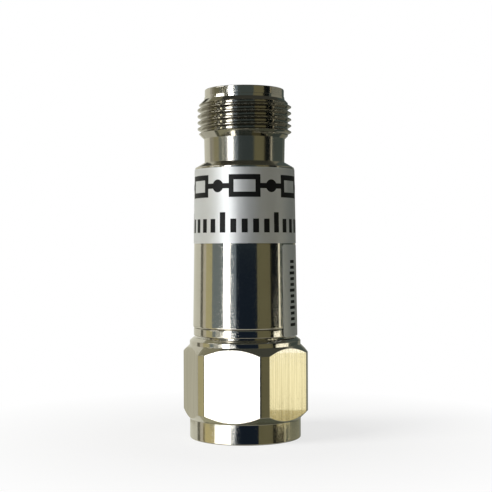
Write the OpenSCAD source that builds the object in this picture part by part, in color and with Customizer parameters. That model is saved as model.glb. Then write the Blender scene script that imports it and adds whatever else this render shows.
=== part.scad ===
// Fixed coaxial attenuator with a threaded jack on top and a plug with a coupling nut below.
// Millimetres. The axis is Z, the coupling nut's open end lies at z = 0 and the front is -Y.

/* [Barrel] */
// Outside diameter of the barrel at its foot
barrel_d = 17.56; // [17:0.02:18.4]
// How much narrower the barrel is at its shoulder
barrel_taper = 0.82; // [0:0.02:1.2]
// Length of the barrel with its shoulder
barrel_len = 27.7; // [25:0.1:45]
// Wall round the bore that holds the plug shell's spigot and the carrier halves
barrel_wall = 1.43; // [1:0.01:1.6]
// Height of the cone that leads from the barrel to the jack's neck
shoulder_h = 0.85; // [0.3:0.05:1.5]
// Flat land left between the cone and the jack's spigot
shoulder_land = 0.15; // [0.05:0.05:0.4]

/* [Jack] */
// Diameter over the thread's crests, 5/8 inch
thread_d = 15.875; // [15:0.005:17]
// Distance from crest to crest, 24 threads to the inch
thread_pitch = 1.0583; // [0.8:0.0001:1.4]
// Number of full crests
thread_crests = 5; // [3:1:7]
// Diameter of the neck below the thread
neck_d = 13.66; // [13.6:0.02:14.2]
// Length of the neck above the barrel
neck_len = 4.04; // [2:0.02:10]
// Diameter of the spigot that goes down into the barrel
jack_spigot_d = 13.5; // [12.5:0.1:13.6]
// Length of that spigot inside the barrel
jack_spigot_len = 6.2; // [5:0.1:8]
// Diameter of the plain nose in front of the thread
nose_d = 13.4; // [12:0.1:14]
// Diameter of the nose where it meets the lead cone
nose_root_d = 13.7; // [13.4:0.1:14.3]
// Height of the flared part of the nose
nose_flare_h = 0.48; // [0.2:0.02:0.9]
// Height of the whole nose
nose_len = 1.78; // [1.3:0.01:3]
// Bore that takes a mating plug's outer contact
jack_bore_d = 8.1; // [7.8:0.05:9]
// Depth of that bore below the rim
jack_bore_depth = 9.1; // [8:0.1:10]
// Bevel at the mouth of that bore
jack_mouth = 0.45; // [0.2:0.05:0.8]

/* [Line] */
// Bore of the outer conductor
line_d = 7; // [6.5:0.05:7.4]
// Diameter of the centre conductor
contact_d = 3.04; // [2.9:0.02:3.2]
// Distance from the reference plane to the step of the centre conductor
contact_step = 5.26; // [4.5:0.02:6]
// Outside diameter of the insulating beads
bead_d = 8.6; // [8.2:0.1:9]
// Thickness of the insulating beads
bead_len = 3; // [2:0.1:3.6]
// Diameter of the centre conductor inside the beads
bead_neck_d = 2.6; // [2.2:0.1:2.7]

/* [Jack contact] */
// Diameter of the hole for a mating pin
socket_d = 1.68; // [1.5:0.02:1.9]
// Depth of that hole
socket_depth = 5.5; // [4.5:0.1:7]
// Width of the spring slots
socket_slot_w = 0.25; // [0.15:0.05:0.35]
// Length of the spring slots
socket_slot_len = 4.6; // [3:0.1:5]

/* [Plug] */
// Depth of the outer contact's tip inside the coupling nut
plug_recess = 1.8; // [1:0.1:3]
// Distance from the outer contact's tip to the gasket's face
plug_depth = 8.7; // [8:0.1:9.2]
// Outside diameter of the outer contact's spring fingers
finger_d = 7.9; // [7.8:0.02:8.02]
// Outside diameter of the ring bead at the finger tips
finger_tip_d = 8.16; // [8.04:0.02:8.3]
// Number of slots between the fingers, in pairs across the bore
finger_slot_pairs = 3; // [2:1:4]
// Width of the slots between the fingers
finger_slot_w = 0.45; // [0.3:0.05:0.7]
// Length of the slots between the fingers
finger_slot_len = 6.2; // [4:0.1:7]
// Turn of the first slot from +X
finger_turn = 22.5; // [0:0.5:60]
// Outside diameter of the outer contact's root
finger_root_d = 8.7; // [8.4:0.1:8.9]
// Length of the outer contact's thick root in front of the plug shell
finger_root_len = 1.6; // [1.5:0.1:2.4]
// Diameter of the outer contact's tail inside the plug shell
tail_d = 9.5; // [9.2:0.1:9.9]
// Length of that tail
tail_len = 4.1; // [3:0.1:5]
// Diameter of the centre pin
pin_d = 1.64; // [1.5:0.02:1.8]
// Distance that the pin stands in front of the outer contact
pin_proud = 0.5; // [0.2:0.1:0.7]
// Length of the pin's tapered tip
pin_taper = 1; // [0.5:0.1:1.5]
// Diameter of the flat on the pin's tip
pin_tip_d = 0.6; // [0.3:0.1:0.9]
// Distance of the flange ring's rim inside the barrel's surface
flange_step = 0.1; // [0:0.05:0.4]
// Thickness of the flange ring
flange_len = 1.35; // [1:0.05:3]
// Length of the plug shell's spigot inside the barrel
plug_spigot_len = 4.5; // [4:0.1:6]
// Inside diameter of the gasket
gasket_bore_d = 9; // [8.9:0.1:9.6]
// Outside diameter of the gasket
gasket_d = 13.2; // [12:0.1:13.6]
// Thickness of the gasket
gasket_t = 1.4; // [1.2:0.1:1.8]

/* [Coupling nut] */
// Diameter over the turned corners of the hexagon
nut_d = 21.32; // [20.8:0.02:21.8]
// Width across the flats
nut_flats = 19.2; // [18.9:0.05:19.6]
// Length of the coupling nut
nut_len = 16.9; // [16.5:0.1:18.5]
// Diameter of the plain skirt and of the collar
skirt_d = 18.74; // [18:0.02:18.86]
// Length of the plain skirt
skirt_len = 3.3; // [2:0.1:5]
// Length of the full hexagon between its two cones
hex_len = 9.8; // [8:0.1:10]
// Height of the cone between skirt and hexagon
cone_low_h = 1.3; // [0.6:0.05:1.6]
// Height of the cone between hexagon and collar
cone_high_h = 1.25; // [0.6:0.05:1.4]
// Height of the bevel on the collar's edge
collar_bevel_h = 0.55; // [0.2:0.05:0.6]
// Width of the bevel on the collar's edge
collar_bevel_w = 0.7; // [0.2:0.05:1]
// Turn of the front flat towards -X
nut_turn = 12.6; // [0:0.1:60]
// Gap between coupling nut and flange ring
flange_gap = 0.25; // [0.15:0.05:0.6]
// Bevel at the nut's open end
nut_mouth = 0.6; // [0.3:0.05:0.9]
// Length of the threaded part of the nut
nut_thread_len = 8.6; // [6:0.1:9]
// Inside diameter of the relief behind the thread
relief_d = 16.2; // [15.6:0.1:16.8]
// Length of the nut's bearing on the plug shell
bearing_len = 3.9; // [3.3:0.1:4]
// Diameter of the plug shell's bearing surface
journal_d = 13.8; // [13.7:0.05:14.2]
// Radial clearance between nut and bearing surface
running_gap = 0.06; // [0.02:0.01:0.1]

/* [Retaining ring] */
// Thickness of the ring along the axis
ring_t = 1; // [0.8:0.05:1.2]
// Inside diameter of the ring as it lies in its grooves
ring_bore_d = 12.7; // [12.4:0.1:12.9]
// Outside diameter of the ring as it lies in its grooves
ring_d = 15.1; // [14.9:0.1:15.3]
// Opening between the ring's ends, as an angle
ring_split = 24; // [10:1:40]
// Diameter at the bottom of the plug shell's groove
ring_groove_d = 11.4; // [11.2:0.1:11.8]
// Distance of the ring from the nut's rear face
ring_setback = 1.35; // [1.2:0.05:1.5]
// Free play beside the ring
ring_play = 0.1; // [0.05:0.01:0.14]

/* [Attenuator chip] */
// Width of the ceramic plate
chip_w = 8.2; // [7.4:0.1:9]
// Thickness of the ceramic plate
chip_t = 0.8; // [0.5:0.05:1.2]
// Length of the ceramic plate
chip_len = 11; // [8:0.1:12]
// Length of the plate's end inside each forked contact
fork_len = 1.2; // [0.8:0.1:2]
// Width of the channel through the carrier halves
channel_w = 5.6; // [4.6:0.1:6.4]
// Depth of the channel through both carrier halves together
channel_depth = 5.2; // [4:0.1:6.4]

/* [Labels] */
// Thickness of the label foil
foil_t = 0.05; // [0.03:0.01:0.2]
// Height of the rating label
rating_h = 12.4; // [8:0.1:13]
// Distance of the rating label below the barrel's cone
rating_drop = 0.15; // [0.1:0.05:1]
// Opening between the rating label's ends at the back, as an angle
rating_split = 14; // [4:1:90]
// Gap between the two labels
label_gap = 0.25; // [0.1:0.05:2]
// Width of the serial label, as an angle
serial_angle = 37.4; // [20:0.1:60]
// Direction of the serial label's middle from the front towards +X
serial_turn = 64.3; // [0:0.1:160]
// Distance that the serial label reaches below the barrel
serial_overlap = 1.3; // [0:0.05:1.3]

/* [Fits] */
// Radial clearance between pieces that are fixed in one another
fixed_gap = 0.03; // [0.02:0.01:0.05]
// Width of the small bevel on turned edges
edge = 0.15; // [0.05:0.05:0.25]
// Facets that a full circle counts when it is drawn as a mesh
turned_fn = 96; // [48:8:192]

/* [Hidden] */
barrel_r = barrel_d / 2;
bore_r = barrel_r - barrel_wall;
thread_r = thread_d / 2;
thread_depth = thread_pitch * 0.5413;
root_r = thread_r - thread_depth;
crest_w = thread_pitch / 8;
root_w = thread_pitch / 4;
flank_h = (thread_pitch - crest_w - root_w) / 2;
neck_r = neck_d / 2;
jack_spigot_r = jack_spigot_d / 2;
nose_r = nose_d / 2;
nose_root_r = nose_root_d / 2;
jack_bore_r = jack_bore_d / 2;
line_r = line_d / 2;
contact_r = contact_d / 2;
bead_r = bead_d / 2;
bead_neck_r = bead_neck_d / 2;
socket_r = socket_d / 2;
pin_r = pin_d / 2;
finger_r = finger_d / 2;
finger_tip_r = finger_tip_d / 2;
finger_root_r = finger_root_d / 2;
tail_r = tail_d / 2;
flange_r = barrel_r - flange_step;
journal_r = journal_d / 2;
skirt_r = skirt_d / 2;
nut_r = nut_d / 2;
relief_r = relief_d / 2;
bearing_r = journal_r + running_gap;

flange_z = nut_len + flange_gap;
barrel_z0 = flange_z + flange_len;
barrel_z1 = barrel_z0 + barrel_len;
cone_z = barrel_z1 - shoulder_h;
carrier_z0 = barrel_z0 + plug_spigot_len;
carrier_z1 = barrel_z1 - jack_spigot_len;
neck_z1 = barrel_z1 + neck_len;
crest_z0 = neck_z1 + thread_r - neck_r + crest_w / 2;
crest_z1 = crest_z0 + (thread_crests - 1) * thread_pitch;
lead_z = crest_z1 + crest_w / 2 + flank_h + root_w;
nose_z0 = lead_z + root_r - nose_root_r;
rim_z = nose_z0 + nose_len;
jack_plane_z = rim_z - jack_bore_depth;
jack_tip_z = jack_plane_z + contact_step;
jack_bead_z1 = carrier_z1 + bead_len;

plug_plane_z = plug_recess;
plug_step_z = plug_plane_z + contact_step;
gasket_z = plug_plane_z + plug_depth;
plug_face_z = gasket_z + gasket_t;
tail_z1 = plug_face_z + tail_len;
plug_bead_z0 = carrier_z0 - bead_len;

hex_z0 = skirt_len + cone_low_h;
hex_z1 = hex_z0 + hex_len;
collar_z = hex_z1 + cone_high_h;
nut_minor_r = root_r;
bearing_z = nut_len - bearing_len;
ring_z1 = nut_len - ring_setback;
ring_z0 = ring_z1 - ring_t;

chip_z0 = (carrier_z0 + carrier_z1 - chip_len) / 2;
chip_z1 = chip_z0 + chip_len;
fork_w = chip_t + 2 * fixed_gap;

rating_z1 = cone_z - edge - rating_drop;
rating_z0 = rating_z1 - rating_h;
serial_z0 = barrel_z0 - serial_overlap;
serial_z1 = rating_z0 - label_gap;

// Radius of the tapered barrel's surface at height z
function barrel_at(z) = barrel_r - barrel_taper / 2 * (z - barrel_z0) / (cone_z - barrel_z0);

// A solid of revolution from its half section
module turned(section) {
  rotate_extrude($fn = turned_fn)
    polygon(section);
}

// A slot across the whole diameter, open at the lower end
module cross_slot(width, length, reach) {
  translate([-reach, -width / 2, 0])
    cube([2 * reach, width, length]);
}

// The tube that carries everything, with a step inside that stops the carrier halves
module barrel() {
  color("#b4b0a2")
    turned([
      [bore_r, barrel_z0],
      [barrel_r - 2 * edge, barrel_z0],
      [barrel_at(barrel_z0 + 2 * edge), barrel_z0 + 2 * edge],
      [barrel_at(cone_z - edge), cone_z - edge],
      [barrel_at(cone_z) - edge, cone_z],
      [jack_spigot_r + fixed_gap + shoulder_land, barrel_z1],
      [jack_spigot_r + fixed_gap, barrel_z1],
      [jack_spigot_r + fixed_gap, carrier_z1],
      [bore_r, carrier_z1]
    ]);
}

// One crest of the jack's thread and the root above it
function crest(i) = [
  [thread_r, crest_z0 + i * thread_pitch - crest_w / 2],
  [thread_r, crest_z0 + i * thread_pitch + crest_w / 2],
  [root_r, crest_z0 + i * thread_pitch + crest_w / 2 + flank_h],
  [root_r, crest_z0 + i * thread_pitch + crest_w / 2 + flank_h + root_w]
];

// The jack's body: spigot, neck, thread and nose outside, stepped bore inside
module jack_shell() {
  ridges = [for (i = [0 : thread_crests - 1]) each crest(i)];
  color("#b8b4a6")
    turned(concat(
      [
        [bead_r + fixed_gap, carrier_z1],
        [jack_spigot_r - edge, carrier_z1],
        [jack_spigot_r, carrier_z1 + edge],
        [jack_spigot_r, barrel_z1],
        [neck_r, neck_z1]
      ],
      ridges,
      [
        [nose_root_r, nose_z0],
        [nose_r, nose_z0 + nose_flare_h],
        [nose_r, rim_z - edge],
        [nose_r - edge, rim_z],
        [jack_bore_r + jack_mouth, rim_z],
        [jack_bore_r, rim_z - jack_mouth],
        [jack_bore_r, jack_plane_z],
        [line_r, jack_plane_z],
        [line_r, jack_bead_z1],
        [bead_r + fixed_gap, jack_bead_z1]
      ]
    ));
}

// The jack's centre contact: slotted socket on top, fork for the chip at the foot
module jack_contact() {
  socket_z = jack_tip_z - socket_depth;
  foot_z = chip_z1 - fork_len;
  color("#c9a24a")
    difference() {
      turned([
        [0, foot_z],
        [contact_r - edge, foot_z],
        [contact_r, foot_z + edge],
        [contact_r, carrier_z1],
        [bead_neck_r, carrier_z1],
        [bead_neck_r, jack_bead_z1],
        [contact_r, jack_bead_z1],
        [contact_r, jack_tip_z - edge],
        [contact_r - edge, jack_tip_z],
        [socket_r + edge, jack_tip_z],
        [socket_r, jack_tip_z - edge],
        [socket_r, socket_z],
        [0, socket_z - socket_r / 2]
      ]);
      for (turn = [45, 135])
        rotate([0, 0, turn])
          translate([0, 0, jack_tip_z - socket_slot_len])
            cross_slot(socket_slot_w, socket_slot_len + 1, contact_d);
      translate([0, 0, foot_z - 1])
        cross_slot(fork_w, fork_len + fixed_gap + 1, contact_d);
    }
}

// An insulating bead with its lower face at height z
module bead(z) {
  turned([
    [bead_neck_r + fixed_gap, z],
    [bead_r, z],
    [bead_r, z + bead_len],
    [bead_neck_r + fixed_gap, z + bead_len]
  ]);
}

// The bead that carries the jack's contact
module jack_bead() {
  color("#eeeae0")
    bead(carrier_z1);
}

// The bead that carries the plug's pin
module plug_bead() {
  color("#eeeae0")
    bead(plug_bead_z0);
}

// The plug's body: bearing surface for the nut, flange ring and spigot into the barrel
module plug_shell() {
  color("#b4b0a2")
    turned([
      [tail_r + fixed_gap, plug_face_z],
      [journal_r - edge, plug_face_z],
      [journal_r, plug_face_z + edge],
      [journal_r, ring_z0 - ring_play / 2],
      [ring_groove_d / 2, ring_z0 - ring_play / 2],
      [ring_groove_d / 2, ring_z1 + ring_play / 2],
      [journal_r, ring_z1 + ring_play / 2],
      [journal_r, flange_z],
      [flange_r - edge, flange_z],
      [flange_r, flange_z + edge],
      [flange_r, barrel_z0 - edge],
      [flange_r - edge, barrel_z0],
      [bore_r - fixed_gap, barrel_z0],
      [bore_r - fixed_gap, carrier_z0 - edge],
      [bore_r - fixed_gap - edge, carrier_z0],
      [bead_r + fixed_gap, carrier_z0],
      [bead_r + fixed_gap, plug_bead_z0],
      [line_r, plug_bead_z0],
      [line_r, tail_z1],
      [tail_r + fixed_gap, tail_z1]
    ]);
}

// The slotted sleeve that grips a mating jack's bore
module plug_outer_contact() {
  root_z = plug_face_z - finger_root_len;
  color("#c4c0b2")
    difference() {
      turned([
        [line_r + edge, plug_plane_z],
        [finger_r - edge, plug_plane_z],
        [finger_tip_r, plug_plane_z + 3 * edge],
        [finger_tip_r, plug_plane_z + 6 * edge],
        [finger_r, plug_plane_z + 10 * edge],
        [finger_r, root_z],
        [finger_root_r, root_z],
        [finger_root_r, plug_face_z],
        [tail_r, plug_face_z],
        [tail_r, tail_z1],
        [line_r, tail_z1],
        [line_r, plug_plane_z + edge]
      ]);
      for (i = [0 : finger_slot_pairs - 1])
        rotate([0, 0, finger_turn + i * 180 / finger_slot_pairs])
          translate([0, 0, plug_plane_z - 1])
            cross_slot(finger_slot_w, finger_slot_len + 1, finger_root_d);
    }
}

// The plug's centre pin with a fork for the chip at its upper end
module plug_pin() {
  head_z = chip_z0 + fork_len;
  tip_z = plug_plane_z - pin_proud;
  color("#c9a24a")
    difference() {
      turned([
        [0, tip_z],
        [pin_tip_d / 2, tip_z],
        [pin_r, tip_z + pin_taper],
        [pin_r, plug_step_z],
        [contact_r - edge, plug_step_z],
        [contact_r, plug_step_z + edge],
        [contact_r, plug_bead_z0],
        [bead_neck_r, plug_bead_z0],
        [bead_neck_r, carrier_z0],
        [contact_r, carrier_z0],
        [contact_r, head_z - edge],
        [contact_r - edge, head_z],
        [0, head_z]
      ]);
      translate([0, 0, chip_z0 - fixed_gap])
        cross_slot(fork_w, fork_len + 1, contact_d);
    }
}

// The rubber ring that seals on a mating jack's rim
module gasket() {
  color("#8e4a34")
    turned([
      [gasket_bore_d / 2, gasket_z + edge],
      [gasket_bore_d / 2 + edge, gasket_z],
      [gasket_d / 2 - edge, gasket_z],
      [gasket_d / 2, gasket_z + edge],
      [gasket_d / 2, plug_face_z],
      [gasket_bore_d / 2, plug_face_z]
    ]);
}

// The split ring that keeps the coupling nut on the plug shell
module retaining_ring() {
  color("#9a9a94")
    rotate([0, 0, 90 + ring_split / 2])
      rotate_extrude(angle = 360 - ring_split, $fn = turned_fn)
        translate([ring_bore_d / 2, ring_z0])
          square([(ring_d - ring_bore_d) / 2, ring_t]);
}

// The coupling nut: a turned blank with six flats milled on it
module coupling_nut() {
  groove_r = ring_d / 2 + ring_play;
  groove_z0 = ring_z0 - ring_play;
  groove_z1 = ring_z1 + ring_play;
  color("#b0ac9e")
    intersection() {
      turned([
        [nut_minor_r + nut_mouth, 0],
        [skirt_r - edge, 0],
        [skirt_r, edge],
        [skirt_r, skirt_len],
        [nut_r, hex_z0],
        [nut_r, hex_z1],
        [skirt_r, collar_z],
        [skirt_r, nut_len - collar_bevel_h],
        [skirt_r - collar_bevel_w, nut_len],
        [bearing_r + edge, nut_len],
        [bearing_r, nut_len - edge],
        [bearing_r, groove_z1],
        [groove_r, groove_z1],
        [groove_r, groove_z0],
        [bearing_r, groove_z0],
        [bearing_r, bearing_z + edge],
        [bearing_r + edge, bearing_z],
        [relief_r, bearing_z],
        [relief_r, nut_thread_len + relief_r - nut_minor_r],
        [nut_minor_r, nut_thread_len],
        [nut_minor_r, nut_mouth]
      ]);
      rotate([0, 0, -nut_turn])
        translate([0, 0, -1])
          cylinder(h = nut_len + 2, r = nut_flats / 2 / cos(30), $fn = 6);
    }
}

// The ceramic plate that bears the resistor film
module attenuator_chip() {
  color("#e6e6e2")
    translate([-chip_w / 2, -chip_t / 2, chip_z0])
      cube([chip_w, chip_t, chip_len]);
}

// Half of the chip's holder on the side that faces -Y
module carrier_half() {
  carrier_len = carrier_z1 - carrier_z0;
  difference() {
    intersection() {
      translate([0, 0, carrier_z0])
        cylinder(h = carrier_len, r = bore_r - fixed_gap, $fn = turned_fn);
      translate([-barrel_d, -barrel_d - fixed_gap, carrier_z0 - 1])
        cube([2 * barrel_d, barrel_d, carrier_len + 2]);
    }
    translate([-channel_w / 2, -channel_depth / 2, carrier_z0 - 1])
      cube([channel_w, channel_depth, carrier_len + 2]);
    translate([-chip_w / 2 - fixed_gap, -chip_t / 2 - fixed_gap, chip_z0 - fixed_gap])
      cube([chip_w + 2 * fixed_gap, chip_t, chip_len + 2 * fixed_gap]);
  }
}

// The half of the chip's holder in front
module carrier_front() {
  color("#a9a9a6")
    carrier_half();
}

// The half of the chip's holder at the back
module carrier_back() {
  color("#a9a9a6")
    rotate([0, 0, 180])
      carrier_half();
}

// A strip of foil on the tapered barrel, from height z0 to z1 and over an angle from +X
module foil(z0, z1, angle) {
  rotate_extrude(angle = angle, $fn = turned_fn)
    polygon([
      [barrel_at(z0) + fixed_gap, z0],
      [barrel_at(z0) + fixed_gap + foil_t, z0],
      [barrel_at(z1) + fixed_gap + foil_t, z1],
      [barrel_at(z1) + fixed_gap, z1]
    ]);
}

// The foil round the upper part of the barrel
module rating_label() {
  color("#c4c6c8")
    rotate([0, 0, 90 + rating_split / 2])
      foil(rating_z0, rating_z1, 360 - rating_split);
}

// The foil strip over the joint between barrel and flange ring
module serial_label() {
  color("#a8b0b0")
    rotate([0, 0, serial_turn - 90 - serial_angle / 2])
      foil(serial_z0, serial_z1, serial_angle);
}

barrel();
jack_shell();
jack_contact();
jack_bead();
plug_shell();
plug_outer_contact();
plug_pin();
plug_bead();
gasket();
retaining_ring();
coupling_nut();
attenuator_chip();
carrier_front();
carrier_back();
rating_label();
serial_label();
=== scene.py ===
"""Looks of a fixed coaxial attenuator: nickel shells, foil labels and a hexagonal coupling nut."""

import logging
import math
from collections.abc import Callable, Mapping, Sequence
from dataclasses import dataclass
from enum import Enum

import bmesh
import bpy
from bpy.types import Material, Mesh, Node, NodeSocket, NodeTree, Object, World
from mathutils import Euler, Matrix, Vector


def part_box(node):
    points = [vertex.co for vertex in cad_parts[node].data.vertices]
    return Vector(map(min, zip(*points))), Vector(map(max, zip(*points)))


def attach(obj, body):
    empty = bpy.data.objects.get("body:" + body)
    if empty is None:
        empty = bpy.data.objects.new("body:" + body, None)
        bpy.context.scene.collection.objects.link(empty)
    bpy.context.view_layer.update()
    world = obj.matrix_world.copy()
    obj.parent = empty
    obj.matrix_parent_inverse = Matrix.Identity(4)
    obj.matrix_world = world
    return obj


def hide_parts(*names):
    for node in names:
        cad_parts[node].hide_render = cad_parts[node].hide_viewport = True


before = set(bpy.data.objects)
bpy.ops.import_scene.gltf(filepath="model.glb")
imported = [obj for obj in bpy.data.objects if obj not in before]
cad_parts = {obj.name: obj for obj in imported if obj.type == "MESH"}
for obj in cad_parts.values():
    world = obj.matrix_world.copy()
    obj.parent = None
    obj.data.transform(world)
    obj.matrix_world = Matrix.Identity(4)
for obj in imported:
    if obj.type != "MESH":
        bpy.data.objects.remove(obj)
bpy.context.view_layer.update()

MM = 0.001
LOG = logging.getLogger("attenuator")


def linear(tone: str) -> tuple[float, float, float, float]:
    """Turns an sRGB hex value into a linear colour.

    Args:
        tone: the colour as #RRGGBB.

    Returns:
        Linear red, green, blue and an alpha of 1.
    """
    parts = [int(tone[i : i + 2], 16) / 255 for i in (1, 3, 5)]
    red, green, blue = (p / 12.92 if p <= 0.04045 else ((p + 0.055) / 1.055) ** 2.4 for p in parts)
    return red, green, blue, 1.0


def cells(size_mm: float) -> float:
    """Gives a pattern's scale for cells of a size in millimetres."""
    return 1 / (size_mm * MM)


def add_node(
    tree: NodeTree, kind: str, inputs: Mapping[str | int, object] | None = None, **settings: object
) -> Node:
    """Adds a node with its settings, input values and links.

    Args:
        tree: the node tree that gets the node.
        kind: the node's type name.
        inputs: values, sockets or nodes (for their first output), by the input's name or number.
        **settings: the node's own properties.

    Returns:
        The new node.
    """
    node = tree.nodes.new(kind)
    for key, value in settings.items():
        setattr(node, key, value)
    for key, value in (inputs or {}).items():
        source = value.outputs[0] if isinstance(value, Node) else value
        if isinstance(source, NodeSocket):
            tree.links.new(source, node.inputs[key])
        else:
            node.inputs[key].default_value = source
    return node


def fresh_tree(owner: Material | World) -> NodeTree:
    """Empties the node tree of a new material or world.

    Args:
        owner: the material or world.

    Returns:
        Its node tree.
    """
    owner.use_nodes = True
    owner.node_tree.nodes.clear()
    return owner.node_tree


def work_out(
    tree: NodeTree, known: Mapping[str, NodeSocket | Node], *lines: tuple[str | float, ...]
) -> dict[str, NodeSocket | Node]:
    """Adds a calculation to a tree, line by line.

    Args:
        tree: the node tree.
        known: what the lines may name.
        *lines: for each result its name, its operation and the names or numbers that go into it.

    Returns:
        What was known and the results, by name.
    """
    found = dict(known)
    for name, operation, *terms in lines:
        inputs = {k: found.get(term, term) for k, term in enumerate(terms)}
        found[name] = add_node(tree, "ShaderNodeMath", inputs, operation=operation)
    return found


class Marks(Enum):
    """Direction of the tool marks that a metal surface keeps."""

    TURNED = "round the axis"
    MILLED = "along the axis"


class Cut(Enum):
    """Where a thread is cut, by the way from its crests to its roots."""

    OUTSIDE = -1.0
    INSIDE = 1.0


@dataclass(frozen=True)
class Finish:
    """A surface named for its material, with two tones that drift into each other."""

    name: str
    tone: str
    stain: str
    roughness: float
    metallic: float = 0.0
    specular: float = 0.5
    drift_mm: float = 3.0
    drift_run: float = 1.0

    def material(self) -> Material:
        """Gives the finish's material, made once.

        Returns:
            The material with its procedural nodes.
        """
        made = bpy.data.materials.get(self.name)
        if made:
            return made
        made = bpy.data.materials.new(self.name)
        tree = fresh_tree(made)
        place = add_node(tree, "ShaderNodeTexCoord").outputs["Object"]
        across = cells(self.drift_mm)
        stretch = (across, across, across / self.drift_run)
        spread = add_node(tree, "ShaderNodeMapping", {"Vector": place, "Scale": stretch})
        drift = add_node(tree, "ShaderNodeTexNoise", {"Vector": spread, "Scale": 1.0, "Detail": 3.0})
        mix = {0: drift, 6: linear(self.tone), 7: linear(self.stain)}
        look = {
            "Base Color": add_node(tree, "ShaderNodeMix", mix, data_type="RGBA").outputs[2],
            "Metallic": self.metallic,
            "Roughness": self.roughness,
            "Specular IOR Level": self.specular,
        }
        shader = add_node(tree, "ShaderNodeBsdfPrincipled", look)
        for name, source in self.detail(tree, place).items():
            tree.links.new(source.outputs[0], shader.inputs[name])
        add_node(tree, "ShaderNodeOutputMaterial", {"Surface": shader})
        return made

    def detail(self, tree: NodeTree, place: NodeSocket) -> dict[str, Node]:
        """Gives the nodes that drive further shader inputs; a plain finish has none."""
        return {}

    def relief(
        self,
        tree: NodeTree,
        place: NodeSocket | Node,
        scale: float,
        depth_mm: float,
        under: Node | None = None,
        detail: float = 2.0,
        dents: tuple[float, float] | None = None,
    ) -> Node:
        """Adds a noise that raises and dents the surface.

        Args:
            tree: the material's node tree.
            place: the noise's coordinates.
            scale: its scale in them.
            depth_mm: height from its lowest level to its highest.
            under: a relief that lies under this one.
            detail: how many finer noises are added to it.
            dents: levels of the noise at which a dent begins and is deepest, if it makes dents alone.

        Returns:
            The node with the surface's normal.
        """
        height = add_node(tree, "ShaderNodeTexNoise", {"Vector": place, "Scale": scale, "Detail": detail})
        if dents:
            span = {"From Min": dents[0], "From Max": dents[1], "To Min": 1.0, "To Max": 0.0}
            height = add_node(tree, "ShaderNodeMapRange", {"Value": height, **span})
        form = {"Strength": 1.0, "Distance": depth_mm * MM, "Height": height}
        if under:
            form["Normal"] = under
        return add_node(tree, "ShaderNodeBump", form)


@dataclass(frozen=True)
class PlatedMetal(Finish):
    """Bright plating over tool marks: mirror bands, softened where the marks and pits lie."""

    metallic: float = 1.0
    marks: Marks = Marks.TURNED
    mark_mm: float = 0.09
    mark_run_mm: float = 6.0
    mark_depth_mm: float = 0.0006
    pit_mm: float = 0.14
    pit_depth_mm: float = 0.002
    pit_levels: tuple[float, float] = (0.56, 0.78)
    wipe_mm: float = 2.2
    wipe_levels: tuple[float, float] = (0.3, 0.7)
    rough_spread: float = 0.04

    def detail(self, tree: NodeTree, place: NodeSocket) -> dict[str, Node]:
        """Adds the tool marks, the pits and the uneven polish.

        Args:
            tree: the material's node tree.
            place: Object coordinates.

        Returns:
            The nodes for the normal and the roughness.
        """
        across, along = cells(self.mark_mm), cells(self.mark_run_mm)
        stretch = (along, along, across) if self.marks is Marks.TURNED else (across, across, along)
        stretched = add_node(tree, "ShaderNodeMapping", {"Vector": place, "Scale": stretch})
        cut = self.relief(tree, stretched, 1.0, self.mark_depth_mm)
        pits = cells(self.pit_mm)
        pitted = self.relief(tree, place, pits, self.pit_depth_mm, cut, 1.0, self.pit_levels)
        wipe = {"Vector": place, "Scale": cells(self.wipe_mm), "Detail": 4.0, "Roughness": 0.6}
        low, high = self.wipe_levels
        polish = {
            "Value": add_node(tree, "ShaderNodeTexNoise", wipe),
            "From Min": low,
            "From Max": high,
            "To Min": self.roughness,
            "To Max": self.roughness + self.rough_spread,
        }
        return {"Normal": pitted, "Roughness": add_node(tree, "ShaderNodeMapRange", polish)}


@dataclass(frozen=True)
class PressedFoil(Finish):
    """Matte metallised film: a broad soft sheen with a fine tooth and a few slack waves."""

    tooth_mm: float = 0.12
    tooth_depth_mm: float = 0.003
    wave_mm: float = 5.0
    wave_depth_mm: float = 0.03

    def detail(self, tree: NodeTree, place: NodeSocket) -> dict[str, Node]:
        """Adds the film's slack waves and, on them, its tooth."""
        waved = self.relief(tree, place, cells(self.wave_mm), self.wave_depth_mm)
        return {"Normal": self.relief(tree, place, cells(self.tooth_mm), self.tooth_depth_mm, waved)}


@dataclass(frozen=True)
class Grained(Finish):
    """A moulded, printed or fired surface with a fine grain."""

    grain_mm: float = 0.2
    grain_depth_mm: float = 0.004

    def detail(self, tree: NodeTree, place: NodeSocket) -> dict[str, Node]:
        """Adds the grain."""
        return {"Normal": self.relief(tree, place, cells(self.grain_mm), self.grain_depth_mm, detail=3.0)}


# Nickel plate on turned brass: warm grey mirror with crisp vertical bands of its surroundings.
TURNED_NICKEL = PlatedMetal("nickel plate, turned", "#CFCCC4", "#C6C2B8", 0.03, pit_depth_mm=0.004)
# The same plate on a cut thread, with a darker tone than on the turned faces: painted shade that stands in
# for the dark grooves. Tool chatter makes the bands break up.
SHADE_DARKENED_THREAD_NICKEL = PlatedMetal("nickel plate, cut thread", "#B2AFA7", "#A29E94", 0.06, mark_depth_mm=0.001)
# The same plate on the neck, which is left as turned: the bands run softly into each other.
NECK_NICKEL = PlatedMetal("nickel plate, fine turned", "#CBC8C0", "#C1BDB3", 0.14)
# The same plate on milled flats: fine upright streaks that spread the light sideways.
MILLED_NICKEL = PlatedMetal(
    "nickel plate, milled flat",
    "#E8E4DA",
    "#A9A394",
    0.012,
    drift_mm=0.35,
    drift_run=40.0,
    marks=Marks.MILLED,
    mark_mm=0.16,
    mark_run_mm=9.0,
    mark_depth_mm=0.004,
    rough_spread=0.01,
)
# Gold over beryllium copper: a deep yellow, softly polished.
GOLD_CONTACT = PlatedMetal("gold plate, spring contact", "#DDB25A", "#C99A45", 0.16)
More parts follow.
